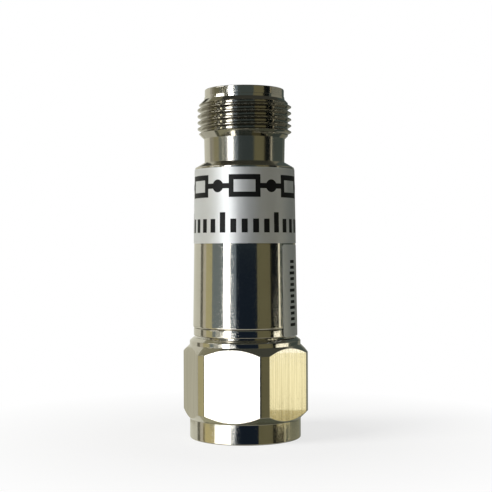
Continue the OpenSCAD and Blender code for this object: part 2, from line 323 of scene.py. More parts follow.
# White bronze on spring fingers: paler and duller than nickel.
BRONZE_SLEEVE = PlatedMetal("white bronze plate, spring sleeve", "#CFC9B8", "#B9B29E", 0.2)
# Hardened spring wire: dark grey with drawing marks.
SPRING_STEEL = PlatedMetal("spring steel, ground", "#8F908C", "#777872", 0.28)
# Turned aluminium: pale and cool, with open tool marks.
CARRIER_METAL = PlatedMetal("aluminium, turned", "#BFC1C2", "#ABADAE", 0.3, mark_depth_mm=0.006)
# Metallised polyester film: cool silver grey that blurs what it mirrors.
LABEL_FOIL = PressedFoil("polyester film, matte silver", "#DADCDD", "#D4D6D7", 0.47, 0.7)
# Thermal transfer ink: dense black with a slight gloss.
LABEL_INK = Grained("resin ink, printed", "#0B0C0D", "#131415", 0.5, specular=0.2, grain_mm=0.25)
# Fluoropolymer bead: waxy white.
BEAD_POLYMER = Grained("fluoropolymer, turned", "#EFECE4", "#E6E2D6", 0.48)
# Silicone ring: brick red and dull.
SEAL_RUBBER = Grained("silicone rubber, moulded", "#93492F", "#7F3C27", 0.62)
# Fired ceramic: chalk white.
ALUMINA = Grained("alumina, fired", "#E9E8E2", "#DEDDD5", 0.55)


@dataclass(frozen=True)
class Corner:
    """A point of a half section in millimetres, with the radius that rounds it."""

    r: float
    z: float
    round: float = 0.0
    threaded: bool = False


def rounded_section(corners: Sequence[Corner], steps: int = 4, most: float = 0.45) -> list[Corner]:
    """Rounds the corners of a closed half section.

    Args:
        corners: the section's corners in order.
        steps: straight pieces in each rounding.
        most: largest share of a side that a rounding takes.

    Returns:
        The points of the rounded section, always the same number for the same corners.
    """
    points: list[Corner] = []
    for i, here in enumerate(corners):
        if not here.round:
            points.append(here)
            continue
        ends = (corners[i - 1], corners[(i + 1) % len(corners)])
        arms = [math.hypot(e.r - here.r, e.z - here.z) for e in ends]
        (ar, az), (br, bz) = (
            ((e.r - here.r) / arm, (e.z - here.z) / arm) for e, arm in zip(ends, arms)
        )
        half = math.acos(max(-1.0, min(1.0, ar * br + az * bz))) / 2
        reach = min(here.round / math.tan(half), most * min(arms))
        for step in range(steps + 1):
            t = step / steps
            # A quadratic arc from one arm to the other, close to a circle at these angles
            pull_a, pull_b = reach * (1 - t) ** 2, reach * t**2
            points.append(Corner(here.r + ar * pull_a + br * pull_b, here.z + az * pull_a + bz * pull_b))
    return points


def even_angles(count: int) -> list[float]:
    """Spreads angles evenly round the axis."""
    return [math.tau * i / count for i in range(count)]


def sweep_section(
    name: str,
    angles: Sequence[float],
    section_at: Callable[[float], Sequence[Corner]],
    second_at: Callable[[float, Corner], bool] | None = None,
) -> Object:
    """Sweeps a closed half section round the axis.

    Args:
        name: the new object's name.
        angles: the columns' angles in radians from +X, in rising order.
        section_at: gives the section in millimetres at an angle, always as many points.
        second_at: says whether a point at an angle takes the second finish.

    Returns:
        A closed mesh with the attributes thread_zone and second_finish.
    """
    sections = [section_at(angle) for angle in angles]
    rows, columns = len(sections[0]), len(angles)
    places = [
        (p.r * MM * math.cos(angle), p.r * MM * math.sin(angle), p.z * MM)
        for angle, section in zip(angles, sections)
        for p in section
    ]
    faces = []
    for c in range(columns):
        d = (c + 1) % columns
        for r in range(rows):
            s = (r + 1) % rows
            faces.append((c * rows + r, d * rows + r, d * rows + s, c * rows + s))
    mesh = bpy.data.meshes.new(name)
    mesh.from_pydata(places, [], faces)
    zone = mesh.attributes.new("thread_zone", "FLOAT", "POINT")
    zone.data.foreach_set("value", [float(p.threaded) for s in sections for p in s])
    second = mesh.attributes.new("second_finish", "FLOAT", "POINT")
    taken = [
        float(bool(second_at and second_at(angle, p)))
        for angle, section in zip(angles, sections)
        for p in section
    ]
    second.data.foreach_set("value", taken)
    return new_piece(name, mesh)


def new_piece(name: str, mesh: Mesh) -> Object:
    """Makes an object of a closed mesh, with its faces outwards and smooth.

    Args:
        name: the object's name.
        mesh: its mesh.

    Returns:
        The object, linked to the scene.
    """
    shell = bmesh.new()
    shell.from_mesh(mesh)
    bmesh.ops.recalc_face_normals(shell, faces=shell.faces)
    shell.to_mesh(mesh)
    shell.free()
    mesh.shade_smooth()
    piece = bpy.data.objects.new(name, mesh)
    bpy.context.scene.collection.objects.link(piece)
    return piece


def settle(piece: Object) -> None:
    """Replaces a piece's mesh by what its modifiers make of it, and removes them.

    Args:
        piece: the object.
    """
    seen = piece.evaluated_get(bpy.context.evaluated_depsgraph_get())
    mesh = bpy.data.meshes.new_from_object(seen)
    piece.modifiers.clear()
    old, piece.data = piece.data, mesh
    bpy.data.meshes.remove(old)
    mesh.name = piece.name


def baked(piece: Object, sharp_deg: float = 40.0) -> Object:
    """Turns a piece and its modifiers into a plain mesh with area-weighted normals.

    Args:
        piece: the object with its modifiers.
        sharp_deg: edges sharper than this stay crisp.

    Returns:
        The same object with the plain mesh and no modifier.
    """
    settle(piece)
    # The modifier passes over faces that are tiny in metres, so it works in millimetres
    piece.data.transform(Matrix.Scale(1 / MM, 4))
    piece.data.set_sharp_from_angle(angle=math.radians(sharp_deg))
    smoother = piece.modifiers.new("area weighted normals", "WEIGHTED_NORMAL")
    smoother.keep_sharp, smoother.weight = True, 100
    settle(piece)
    piece.data.transform(Matrix.Scale(MM, 4))
    return piece


def run_tree(piece: Object, tree: NodeTree, values: Mapping[str, object]) -> None:
    """Puts a Geometry Nodes tree on a piece and sets its inputs.

    Args:
        piece: the object.
        tree: the tree.
        values: the inputs' values by name.
    """
    modifier = piece.modifiers.new(tree.name, "NODES")
    modifier.node_group = tree
    for item in tree.interface.items_tree:
        if item.in_out == "INPUT" and item.name in values:
            modifier[item.identifier] = values[item.name]


def start_tree(
    name: str, inputs: Mapping[str, str]
) -> tuple[NodeTree, dict[str, NodeSocket | Node], Node]:
    """Starts a Geometry Nodes tree with named inputs.

    Args:
        name: the tree's name.
        inputs: kind of each input after the geometry, by its name.

    Returns:
        The tree, its inputs with a point's X, Y and Z, and its output node.
    """
    tree = bpy.data.node_groups.new(name, "GeometryNodeTree")
    tree.interface.new_socket("Geometry", in_out="INPUT", socket_type="NodeSocketGeometry")
    for label, kind in inputs.items():
        tree.interface.new_socket(label, in_out="INPUT", socket_type=f"NodeSocket{kind}")
    tree.interface.new_socket("Geometry", in_out="OUTPUT", socket_type="NodeSocketGeometry")
    known = dict(add_node(tree, "NodeGroupInput").outputs.items())
    spot = add_node(tree, "GeometryNodeInputPosition")
    known |= dict(add_node(tree, "ShaderNodeSeparateXYZ", {0: spot}).outputs.items())
    return tree, known, add_node(tree, "NodeGroupOutput")


def thread_tree() -> NodeTree:
    """Builds the tree that cuts a helical thread into the zone of a turned blank.

    Returns:
        The tree. A point goes from the base radius to the side by how far it is from a crest.
    """
    made = bpy.data.node_groups.get("cut helical thread")
    if made:
        return made
    sizes = ("Base Radius", "Side", "Depth", "Pitch", "Half Crest", "Flank", "First Crest", "Start", "End")
    finishes = ("Finish", "Second Finish", "Thread Finish")
    kinds = dict.fromkeys(sizes, "Float") | dict.fromkeys(finishes, "Material")
    tree, known, result = start_tree("cut helical thread", kinds)
    for zone in ("thread_zone", "second_finish"):
        known[zone] = add_node(tree, "GeometryNodeInputNamedAttribute", {"Name": zone}, data_type="FLOAT")
    known = work_out(
        tree,
        known,
        ("angle", "ARCTAN2", "Y", "X"),
        ("rise", "SUBTRACT", "Z", "First Crest"),
        ("pitches", "DIVIDE", "rise", "Pitch"),
        ("turn", "DIVIDE", "angle", math.tau),
        ("turns", "SUBTRACT", "pitches", "turn"),
        ("nearest crest", "ROUND", "turns"),
        ("past crest", "SUBTRACT", "turns", "nearest crest"),
        ("off crest", "ABSOLUTE", "past crest"),
        ("flank end", "ADD", "Half Crest", "Flank"),
    )
    flank = {
        "Value": known["off crest"],
        "From Min": known["Half Crest"],
        "From Max": known["flank end"],
        "To Min": 0.0,
        "To Max": known["Depth"],
    }
    known["flank depth"] = add_node(tree, "ShaderNodeMapRange", flank)
    known = work_out(
        tree,
        known,
        ("below start", "SUBTRACT", "Start", "Z"),
        ("above end", "SUBTRACT", "Z", "End"),
        ("run in", "MAXIMUM", "flank depth", "below start"),
        ("cut", "MAXIMUM", "run in", "above end"),
        ("shift", "MULTIPLY", "cut", "Side"),
        ("radius", "ADD", "Base Radius", "shift"),
        ("cosine", "COSINE", "angle"),
        ("sine", "SINE", "angle"),
        ("new x", "MULTIPLY", "cosine", "radius"),
        ("new y", "MULTIPLY", "sine", "radius"),
        ("to move", "GREATER_THAN", "thread_zone", 0.5),
        ("on thread", "GREATER_THAN", "thread_zone", 0.99),
        ("on second", "GREATER_THAN", "second_finish", 0.99),
    )
    moved = add_node(tree, "ShaderNodeCombineXYZ", {0: known["new x"], 1: known["new y"], 2: known["Z"]})
    form = {"Geometry": known["Geometry"], "Selection": known["to move"], "Position": moved}
    formed = add_node(tree, "GeometryNodeSetPosition", form)
    real = add_node(tree, "GeometryNodeRealizeInstances", {0: formed})
    plated = add_node(tree, "GeometryNodeSetMaterial", {"Geometry": real, "Material": known["Finish"]})
    for zone, finish in (("on second", "Second Finish"), ("on thread", "Thread Finish")):
        coat = {"Geometry": plated, "Selection": known[zone], "Material": known[finish]}
        plated = add_node(tree, "GeometryNodeSetMaterial", coat)
    tree.links.new(plated.outputs[0], result.inputs[0])
    return tree


def wrap_tree() -> NodeTree:
    """Builds the tree that repeats a flat mark and lays the row round the barrel.

    Returns:
        The tree. A mark's x runs round the barrel from the front, and -y stands off it.
    """
    made = bpy.data.node_groups.get("lay round the barrel")
    if made:
        return made
    sizes = ("Spacing", "Middle", "Foot Radius", "Foot Height", "Taper")
    kinds = {"Count": "Int", **dict.fromkeys(sizes, "Float"), "Finish": "Material"}
    tree, known, result = start_tree("lay round the barrel", kinds)
    known = work_out(
        tree,
        known,
        ("gaps", "SUBTRACT", "Count", 1.0),
        ("length", "MULTIPLY", "gaps", "Spacing"),
        ("half", "MULTIPLY", "length", 0.5),
        ("first", "SUBTRACT", "Middle", "half"),
        ("angle", "DIVIDE", "X", "Foot Radius"),
        ("rise", "SUBTRACT", "Z", "Foot Height"),
        ("shrunk", "MULTIPLY", "rise", "Taper"),
        ("radius", "SUBTRACT", "Foot Radius", "shrunk"),
        ("reach", "SUBTRACT", "Y", "radius"),
        ("outward", "MULTIPLY", "reach", -1.0),
        ("sine", "SINE", "angle"),
        ("cosine", "COSINE", "angle"),
        ("new x", "MULTIPLY", "sine", "outward"),
        ("new y", "MULTIPLY", "cosine", "reach"),
    )
    row = {
        "Count": known["Count"],
        "Start Location": add_node(tree, "ShaderNodeCombineXYZ", {0: known["first"]}),
        "Offset": add_node(tree, "ShaderNodeCombineXYZ", {0: known["Spacing"]}),
    }
    points = add_node(tree, "GeometryNodeMeshLine", row, mode="OFFSET")
    marks = {"Points": points, "Instance": known["Geometry"]}
    repeated = add_node(tree, "GeometryNodeInstanceOnPoints", marks)
    real = add_node(tree, "GeometryNodeRealizeInstances", {0: repeated})
    laid = add_node(tree, "ShaderNodeCombineXYZ", {0: known["new x"], 1: known["new y"], 2: known["Z"]})
    formed = add_node(tree, "GeometryNodeSetPosition", {"Geometry": real, "Position": laid})
    inked = add_node(tree, "GeometryNodeSetMaterial", {"Geometry": formed, "Material": known["Finish"]})
    tree.links.new(inked.outputs[0], result.inputs[0])
    return tree


class FlatMarks:
    """Thin closed plates in the XZ plane, from which a label or a printed mark is made."""

    # Longest piece along x in millimetres, so that a plate can bend round the barrel
    BEND = 0.3
    CORNER_STEPS = 6
    SPOT_STEPS = 12

    def __init__(self, low_mm: float, high_mm: float) -> None:
        """Starts an empty set of plates between two heights off the barrel.

        Args:
            low_mm: height of their inner faces.
            high_mm: height of their outer faces.
        """
        self.low, self.high = low_mm, high_mm
        self.places: list[tuple[float, float, float]] = []
        self.faces: list[tuple[int, ...]] = []

    def band(self, rows: Sequence[Sequence[tuple[float, float]]], ring: bool = False) -> None:
        """Adds one plate.

        Args:
            rows: lines of points (x, z) in millimetres across the plate, from end to end.
            ring: whether the last line joins the first.
        """
        start, count, wide = len(self.places), len(rows), 2 * len(rows[0])
        for row in rows:
            for off, line in ((self.high, row), (self.low, reversed(row))):
                self.places += [(x * MM, -off * MM, z * MM) for x, z in line]
        for i in range(count if ring else count - 1):
            a, b = start + wide * i, start + wide * ((i + 1) % count)
            for p in range(wide):
                q = (p + 1) % wide
                self.faces.append((a + p, b + p, b + q, a + q))
        if not ring:
            for first in (start, start + wide * (count - 1)):
                self.faces.append(tuple(range(first, first + wide)))

    def strip(self, stations: Sequence[tuple[float, float, float]]) -> None:
        """Adds a plate by x with the lowest and highest z there, from left to right."""
        self.band([((x, z0), (x, z1)) for x, z0, z1 in stations])

    def plate(self, x0: float, x1: float, z0: float, z1: float, corner: float = 0.0) -> None:
        """Adds a rectangle, with round corners if wanted.

        Args:
            x0: left side.
            x1: right side.
            z0: lower side.
            z1: upper side.
            corner: radius of the corners.
        """
        steps = self.CORNER_STEPS
        turns = [k * math.pi / 2 / steps for k in range(steps + 1)] if corner else []
        ends = [(corner * (1 - math.cos(t)), corner * (1 - math.sin(t))) for t in turns]
        ends = ends or [(0.0, 0.0)]
        inner = x1 - x0 - 2 * corner
        count = max(1, math.ceil(inner / self.BEND))
        middle = [(x0 + corner + inner * k / count, z0, z1) for k in range(1, count)]
        left = [(x0 + dx, z0 + dz, z1 - dz) for dx, dz in ends]
        right = [(x1 - dx, z0 + dz, z1 - dz) for dx, dz in reversed(ends)]
        self.strip([*left, *middle, *right])

    def outline(self, x0: float, x1: float, z0: float, z1: float, line: float) -> None:
        """Adds a rectangle drawn as an outline.

        Args:
            x0: left side.
            x1: right side.
            z0: lower side.
            z1: upper side.
            line: width of the outline.
        """
        insets = [line * k / 3 for k in range(4)]
        count = math.ceil((x1 - x0) / self.BEND)
        shares = [k / count for k in range(count + 1)]
        lower, upper = (
            [[(x0 + i + (x1 - x0 - 2 * i) * t, z + side * i) for i in insets] for t in shares]
            for z, side in ((z0, 1), (z1, -1))
        )
        self.band(lower + upper[::-1], ring=True)

    def spotted_wire(self, x0: float, x1: float, z: float, line: float, radius: float) -> None:
        """Adds a straight line with a round spot halfway along it.

        Args:
            x0: left end.
            x1: right end.
            z: height of its middle.
            line: width of the line.
            radius: radius of the spot.
        """
        first = math.asin(line / 2 / radius)
        steps = self.SPOT_STEPS
        turns = [first + (math.pi - 2 * first) * k / steps for k in range(steps + 1)]
        spot = [((x0 + x1) / 2 - radius * math.cos(t), radius * math.sin(t)) for t in turns]
        reach = spot[0][0] - x0
        count = math.ceil(reach / self.BEND)
        ends = [reach * k / count for k in range(count)]
        left = [(x0 + e, line / 2) for e in ends]
        right = [(x1 - e, line / 2) for e in reversed(ends)]
        self.strip([(x, z - half, z + half) for x, half in (*left, *spot, *right)])

    def piece(self, name: str) -> Object:
        """Makes the plates one object.

        Args:
            name: the object's name.

        Returns:
            The object.
        """
        mesh = bpy.data.meshes.new(name)
        mesh.from_pydata(self.places, [], self.faces)
        return new_piece(name, mesh)


def dress(node: str, finish: Finish) -> None:
    """Gives a CAD node's own solid a finish.

    Args:
        node: the node's name.
        finish: the finish for all its material slots.
    """
    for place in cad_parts[node].material_slots:
        place.material = finish.material()
    LOG.info("%s: the CAD solid, %s", node, finish.name)


def hand_over(piece: Object, body: str, node: str) -> None:
    """Lets a finished piece stand for a CAD node on its body.

    Args:
        piece: the finished piece.
        body: the body that carries it.
        node: the node that it stands for.
    """
    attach(piece, body)
    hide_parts(node)
    LOG.info("%s: %d faces, stands for %s", piece.name, len(piece.data.polygons), node)


def turned_piece(name: str, columns: int, corners: Sequence[Corner], node: str) -> None:
    """Turns a plain nickel piece that stands for a node of the body.

    Args:
        name: the piece's name.
        columns: columns of faces round the axis.
        corners: its half section.
        node: the node that it stands for.
    """
    section = rounded_section(corners)
    piece = sweep_section(name, even_angles(columns), lambda _: section)
    piece.data.materials.append(TURNED_NICKEL.material())
    hand_over(baked(piece), "body", node)


@dataclass
class Barrel:
    """The tube between the two connectors, with its conical shoulder."""

    foot_r: float = 8.78
    foot_z: float = 18.5
    top_r: float = 8.37
    cone_z: float = 45.35
    wall: float = 1.43
    seat_r: float = 6.78
    land: float = 0.15
    seat_z: float = 40.0
    bore_round: float = 0.1
    foot_round: float = 0.35
    cone_round: float = 0.22
    land_round: float = 0.08
    columns: int = 224

    @property
    def taper(self) -> float:
        """How much the radius shrinks along each millimetre upwards."""
        return (self.foot_r - self.top_r) / (self.cone_z - self.foot_z)

    def build(self) -> None:
        """Builds and dresses the barrel."""
        z1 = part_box("barrel")[1].z / MM
        bore = self.foot_r - self.wall
        corners = [
            Corner(bore, self.foot_z, self.bore_round),
            Corner(self.foot_r, self.foot_z, self.foot_round),
            Corner(self.top_r, self.cone_z, self.cone_round),
            Corner(self.seat_r + self.land, z1, self.land_round),
            Corner(self.seat_r, z1),
            Corner(self.seat_r, self.seat_z),
            Corner(bore, self.seat_z),
        ]
        turned_piece("turned_barrel", self.columns, corners, "barrel")


@dataclass
class ThreadForm:
    """A sixty degree thread, by its radius over the outside crests, its pitch and shares of that."""

    major_r: float = 7.9375
    pitch: float = 1.0583
    depth_share: float = 0.5413
    flank_share: float = 5 / 16
    outer_crest_share: float = 1 / 8
    inner_crest_share: float = 1 / 4

    @property
    def depth(self) -> float:
        """Depth from crest to root."""
        return self.pitch * self.depth_share

    @property
    def minor_r(self) -> float:
        """Radius over the crests of the inside thread."""
        return self.major_r - self.depth

    def cut(
        self, piece: Object, where: Cut, first: float, start: float, end: float, second: Finish
    ) -> None:
        """Cuts the thread into a blank, plates it and makes it a plain mesh.

        Args:
            piece: the blank, with its thread zone and the zone of its second finish.
            where: outside or inside.
            first: height of a crest at +X.
            start: height below which the thread runs out at 45 degrees.
            end: height above which it does so.
            second: the second finish.
        """
        outside = where is Cut.OUTSIDE
        lengths = {
            "Base Radius": self.major_r if outside else self.minor_r,
            "Depth": self.depth,
            "Pitch": self.pitch,
            "First Crest": first,
            "Start": start,
            "End": end,
        }
        crest = self.outer_crest_share if outside else self.inner_crest_share
        # The thread's finish has the darker tone, painted shade for the grooves between the crests
        finishes = {"Finish": TURNED_NICKEL, "Second Finish": second, "Thread Finish": SHADE_DARKENED_THREAD_NICKEL}
        values = {name: length * MM for name, length in lengths.items()}
        values |= {"Side": where.value, "Half Crest": crest / 2, "Flank": self.flank_share}
        values |= {name: finish.material() for name, finish in finishes.items()}
        run_tree(piece, thread_tree(), values)
        baked(piece)


@dataclass
class Jack:
    """The socket end: neck, helical thread and nose, with its contact and bead."""

    thread: ThreadForm
    spigot_r: float = 6.75
    spigot_z: float = 40.0
    neck_r: float = 6.83
    neck_z0: float = 46.2
    neck_z1: float = 50.24
    nose_root_r: float = 6.85
    nose_z0: float = 56.8229
    nose_flare: float = 0.48
    nose_r: float = 6.7
    bore_r: float = 4.05
    mouth: float = 0.45
    plane_z: float = 49.5029
    line_r: float = 3.5
    bead_seat_r: float = 4.33
    bead_z1: float = 43.0
    spigot_round: float = 0.15
    edge_round: float = 0.1
    rim_round: float = 0.2
    mouth_round: float = 0.06
    columns: int = 176
    rows_a_pitch: int = 44

    def section(self) -> list[Corner]:
        """Lays out the half section with a plain blank where the thread is cut.

        Returns:
            The rounded section.
        """
        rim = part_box("jack_shell")[1].z / MM
        count = round((self.nose_z0 - self.neck_z1) / self.thread.pitch * self.rows_a_pitch)
        step = (self.nose_z0 - self.neck_z1) / count
        heights = [self.neck_z1 + k * step for k in range(count + 1)]
        return rounded_section(
            [
                Corner(self.bead_seat_r, self.spigot_z),
                Corner(self.spigot_r, self.spigot_z, self.spigot_round),
                Corner(self.spigot_r, self.neck_z0),
                *(Corner(self.thread.major_r, z, threaded=True) for z in heights),
                Corner(self.nose_r, self.nose_z0 + self.nose_flare, self.edge_round),
                Corner(self.nose_r, rim, self.rim_round),
                Corner(self.bore_r + self.mouth, rim, self.mouth_round),
                Corner(self.bore_r, rim - self.mouth, self.edge_round),
                Corner(self.bore_r, self.plane_z),
                Corner(self.line_r, self.plane_z),
                Corner(self.line_r, self.bead_z1),
                Corner(self.bead_seat_r, self.bead_z1),
            ]
        )

    def build(self) -> None:
        """Builds the shell with its thread and dresses the pieces inside it."""
        section = self.section()
        piece = sweep_section(
            "threaded_jack_shell",
            even_angles(self.columns),
            lambda _: section,
            lambda _, point: self.neck_z0 <= point.z <= self.neck_z1 and point.r > self.line_r,
        )
        thread = self.thread
        start = self.neck_z1 + thread.major_r - self.neck_r
        end = self.nose_z0 - thread.major_r + self.nose_root_r
        first = start + thread.pitch * thread.outer_crest_share / 2
        thread.cut(piece, Cut.OUTSIDE, first, start, end, NECK_NICKEL)
        hand_over(piece, "body", "jack_shell")
        dress("jack_contact", GOLD_CONTACT)
        dress("jack_bead", BEAD_POLYMER)


@dataclass
class Plug:
    """The pin end inside the coupling nut, and the flange ring that shows above the nut."""

    tail_r: float = 4.78
    journal_r: float = 6.9
    groove_r: float = 5.7
    groove_z0: float = 14.5
    groove_z1: float = 15.6
    flange_r: float = 8.68
    flange_z0: float = 17.15
    flange_z1: float = 18.5
    spigot_r: float = 7.32
    bead_seat_r: float = 4.33
    bead_z0: float = 20.0
    line_r: float = 3.5
    tail_z1: float = 16.0
    edge_round: float = 0.15
    flange_round: float = 0.2
    columns: int = 192

    def build(self) -> None:
        """Builds the shell and dresses the pieces that it holds."""
        low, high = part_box("plug_shell")
        z0, z1 = low.z / MM, high.z / MM
        corners = [
            Corner(self.tail_r, z0),
            Corner(self.journal_r, z0, self.edge_round),
            Corner(self.journal_r, self.groove_z0),
            Corner(self.groove_r, self.groove_z0),
            Corner(self.groove_r, self.groove_z1),
            Corner(self.journal_r, self.groove_z1),
            Corner(self.journal_r, self.flange_z0),
            Corner(self.flange_r, self.flange_z0, self.flange_round),
            Corner(self.flange_r, self.flange_z1, self.flange_round),
            Corner(self.spigot_r, self.flange_z1),
            Corner(self.spigot_r, z1, self.edge_round),
            Corner(self.bead_seat_r, z1),
            Corner(self.bead_seat_r, self.bead_z0),
            Corner(self.line_r, self.bead_z0),
            Corner(self.line_r, self.tail_z1),
            Corner(self.tail_r, self.tail_z1),
        ]
        turned_piece("turned_plug_shell", self.columns, corners, "plug_shell")
        dress("plug_outer_contact", BRONZE_SLEEVE)
        dress("plug_pin", GOLD_CONTACT)
        dress("plug_bead", BEAD_POLYMER)
        dress("gasket", SEAL_RUBBER)
        dress("retaining_ring", SPRING_STEEL)


@dataclass
class CouplingNut:
    """The free nut: a turned blank with six milled flats and a thread inside."""

    thread: ThreadForm
    flats: float = 19.2
    corner_r: float = 10.66
    skirt_r: float = 9.37
    skirt_z: float = 3.3
    cone_low_h: float = 1.3
    collar_z: float = 15.65
    cone_high_h: float = 1.25
    bevel_h: float = 0.55
    bevel_w: float = 0.7
    turn_deg: float = 12.6
    bearing_r: float = 6.96
    bearing_z: float = 13.0
    ring_groove_r: float = 7.65
    ring_groove_z0: float = 14.45
    ring_groove_z1: float = 15.65
    relief_r: float = 8.1
    thread_z1: float = 8.6
    mouth: float = 0.6
    mouth_round: float = 0.04
    skirt_round: float = 0.22
    foot_round: float = 0.1
    flat_round: float = 0.12
    edge_round: float = 0.15
    edge_blend: float = 0.02
    flat_margin: float = 0.05
    rows_a_pitch: int = 16
    flat_columns: int = 12
    column_deg: float = 2.0
    edge_columns_deg: tuple[float, ...] = (-1.0, -0.5, -0.2, 0.0, 0.2, 0.5, 1.0)
    corner_column_deg: float = 28.2

    @property
    def edge(self) -> float:
        """Angle in radians from the middle of a flat to where it meets a turned corner."""
        return math.acos(self.flats / 2 / self.corner_r)

    def off_flat(self, angle: float) -> float:
        """Gives the angle from the middle of the nearest flat.

        Args:
            angle: an angle in radians from +X.

        Returns:
            That angle in radians, between -30 and +30 degrees.
        """
        front = math.radians(-90 - self.turn_deg)
        return (angle - front + math.pi / 6) % (math.pi / 3) - math.pi / 6

    def reach(self, angle: float) -> float:
        """Gives the hexagon's radius at an angle, with its turned corners blended in.

        Args:
            angle: an angle in radians from +X.

        Returns:
            The radius in millimetres.
        """
        flat = self.flats / 2 / math.cos(self.off_flat(angle))
        spread = math.hypot(flat - self.corner_r, 2 * self.edge_blend)
        return (flat + self.corner_r - spread) / 2

    def section(self, angle: float) -> list[Corner]:
        """Lays out the half section at an angle.

        Args:
            angle: an angle in radians from +X.

        Returns:
            The rounded section.
        """
        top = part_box("coupling_nut")[1].z / MM
        reach = self.reach(angle)
        share = (reach - self.skirt_r) / (self.corner_r - self.skirt_r)
        minor_r = self.thread.minor_r
        relief_z = self.thread_z1 + self.relief_r - minor_r
        count = round(relief_z / self.thread.pitch * self.rows_a_pitch)
        heights = [relief_z * (1 - k / count) for k in range(1, count)]
        return rounded_section(
            [
                Corner(minor_r + self.mouth, 0.0, self.mouth_round),
                Corner(self.skirt_r, 0.0, self.skirt_round),
                Corner(self.skirt_r, self.skirt_z, self.foot_round),
                Corner(reach, self.skirt_z + self.cone_low_h * share, self.flat_round),
                Corner(reach, self.collar_z - self.cone_high_h * share, self.flat_round),
                Corner(self.skirt_r, self.collar_z, self.foot_round),
                Corner(self.skirt_r, top - self.bevel_h, self.edge_round),
                Corner(self.skirt_r - self.bevel_w, top, self.edge_round),
                Corner(self.bearing_r, top, self.edge_round),
                Corner(self.bearing_r, self.ring_groove_z1),
                Corner(self.ring_groove_r, self.ring_groove_z1),
                Corner(self.ring_groove_r, self.ring_groove_z0),
                Corner(self.bearing_r, self.ring_groove_z0),
                Corner(self.bearing_r, self.bearing_z, self.edge_round),
                Corner(self.relief_r, self.bearing_z),
                Corner(self.relief_r, relief_z),
                *(Corner(minor_r, z, threaded=True) for z in heights),
            ],
            steps=3,
        )

    def angles(self) -> list[float]:
        """Spreads the columns, closer together where a flat meets a turned corner.

        Returns:
            Angles in radians from +X in rising order.
        """
        edge = math.degrees(self.edge)
        even = [self.column_deg * k for k in range(1, self.flat_columns + 1)]
        right = [*even, *(edge + off for off in self.edge_columns_deg), self.corner_column_deg]
        one = [-a for a in reversed(right)] + [0.0] + right + [30.0]
        front = -90 - self.turn_deg
        return sorted(math.radians((front + 60 * side + a) % 360) for side in range(6) for a in one)

    def on_flat(self, angle: float, point: Corner) -> bool:
        """Says whether a point of the section at an angle lies on a milled flat.

        Args:
            angle: the section's angle in radians from +X.
            point: the point.

        Returns:
            True for a point of a flat, without the turned corners beside it.
        """
        between = self.skirt_z + self.flat_margin < point.z < self.collar_z - self.flat_margin
        outermost = abs(point.r - self.reach(angle)) < 1e-6
        return between and outermost and abs(self.off_flat(angle)) < self.edge

    def build(self) -> None:
        """Builds the nut with its inside thread."""
        piece = sweep_section("milled_coupling_nut", self.angles(), self.section, self.on_flat)
        self.thread.cut(piece, Cut.INSIDE, self.mouth, self.mouth, self.thread_z1, MILLED_NICKEL)
        hand_over(piece, "nut", "coupling_nut")


@dataclass
class FoilLabel:
    """A label of metallised film on the barrel, by where its middle lies from the front."""

    barrel: Barrel
    node: str
    angle_deg: float
    turn_deg: float
    corner: float = 0.45
    lift: float = 0.03
    film: float = 0.05
    ink_h: float = 0.012

    @property
    def middle(self) -> float:
        """Distance of the label's middle from the front, round the barrel in metres."""
        return math.radians(self.turn_deg) * self.barrel.foot_r * MM

    def lay(self, marks: FlatMarks, name: str, finish: Finish, **row: float) -> Object:
        """Lays flat marks round the barrel.

        Args:
            marks: the plates of one mark.
            name: the piece's name.
            finish: its finish.
            **row: Count and Spacing of the row.

        Returns:
            The finished piece.
        """
        piece = marks.piece(name)
        values = {"Count": 1, "Spacing": 0.0, "Middle": self.middle, **row}
        values |= {
            "Foot Radius": self.barrel.foot_r * MM,
            "Foot Height": self.barrel.foot_z * MM,
            "Taper": self.barrel.taper,
            "Finish": finish.material(),
        }
        run_tree(piece, wrap_tree(), values)
        return baked(piece)

    def build(self) -> None:
        """Builds the film itself."""
        low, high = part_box(self.node)
        half = math.radians(self.angle_deg / 2) * self.barrel.foot_r
        film = FlatMarks(self.lift, self.lift + self.film)
        film.plate(-half, half, low.z / MM, high.z / MM, self.corner)
        piece = self.lay(film, f"foil_{self.node}", LABEL_FOIL)
        hand_over(piece, "body", self.node)

    def print_row(self, marks: FlatMarks, name: str, count: int, spacing: float) -> None:
        """Prints a row of one mark on the label.

        Args:
            marks: the plates of one mark.
            name: the piece's name.
            count: marks in the row.
            spacing: distance from mark to mark in millimetres.
        """
        piece = self.lay(marks, name, LABEL_INK, Count=count, Spacing=spacing * MM)
        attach(piece, "body")
        LOG.info("%s: %d marks", name, count)

    def ink(self) -> FlatMarks:
        """Starts marks that lie just on the film."""
        top = self.lift + self.film
        return FlatMarks(top, top + self.ink_h)


@dataclass
class RatingLabel(FoilLabel):
    """The wide label, printed with a row of pad symbols above a row of graduations."""

    count: int = 5
    spacing: float = 9.5
    line: float = 0.85
    symbol_w: float = 5.4
    symbol_h: float = 3.69
    symbol_z: float = 42.0
    spot_r: float = 1.05
    ticks: int = 5
    tick_w: float = 1.0
    long_tick: float = 3.3
    short_tick: float = 2.244
    tick_z: float = 34.4

    def build(self) -> None:
        """Builds the film and prints its two rows."""
        super().build()
        side, half, z = self.symbol_w / 2, self.symbol_h / 2, self.symbol_z
        symbol = self.ink()
        symbol.outline(-side, side, z - half, z + half, self.line)
        symbol.spotted_wire(side, self.spacing - side, z, self.line, self.spot_r)
        self.print_row(symbol, "rating_pad_symbols", self.count, self.spacing)
        scale = self.ink()
        for k in range(self.ticks):
            x = (k - (self.ticks - 1) / 2) * self.spacing / self.ticks
            top = self.tick_z + (self.short_tick if k else self.long_tick)
            scale.plate(x - self.tick_w / 2, x + self.tick_w / 2, self.tick_z, top)
        self.print_row(scale, "rating_graduations", self.count, self.spacing)


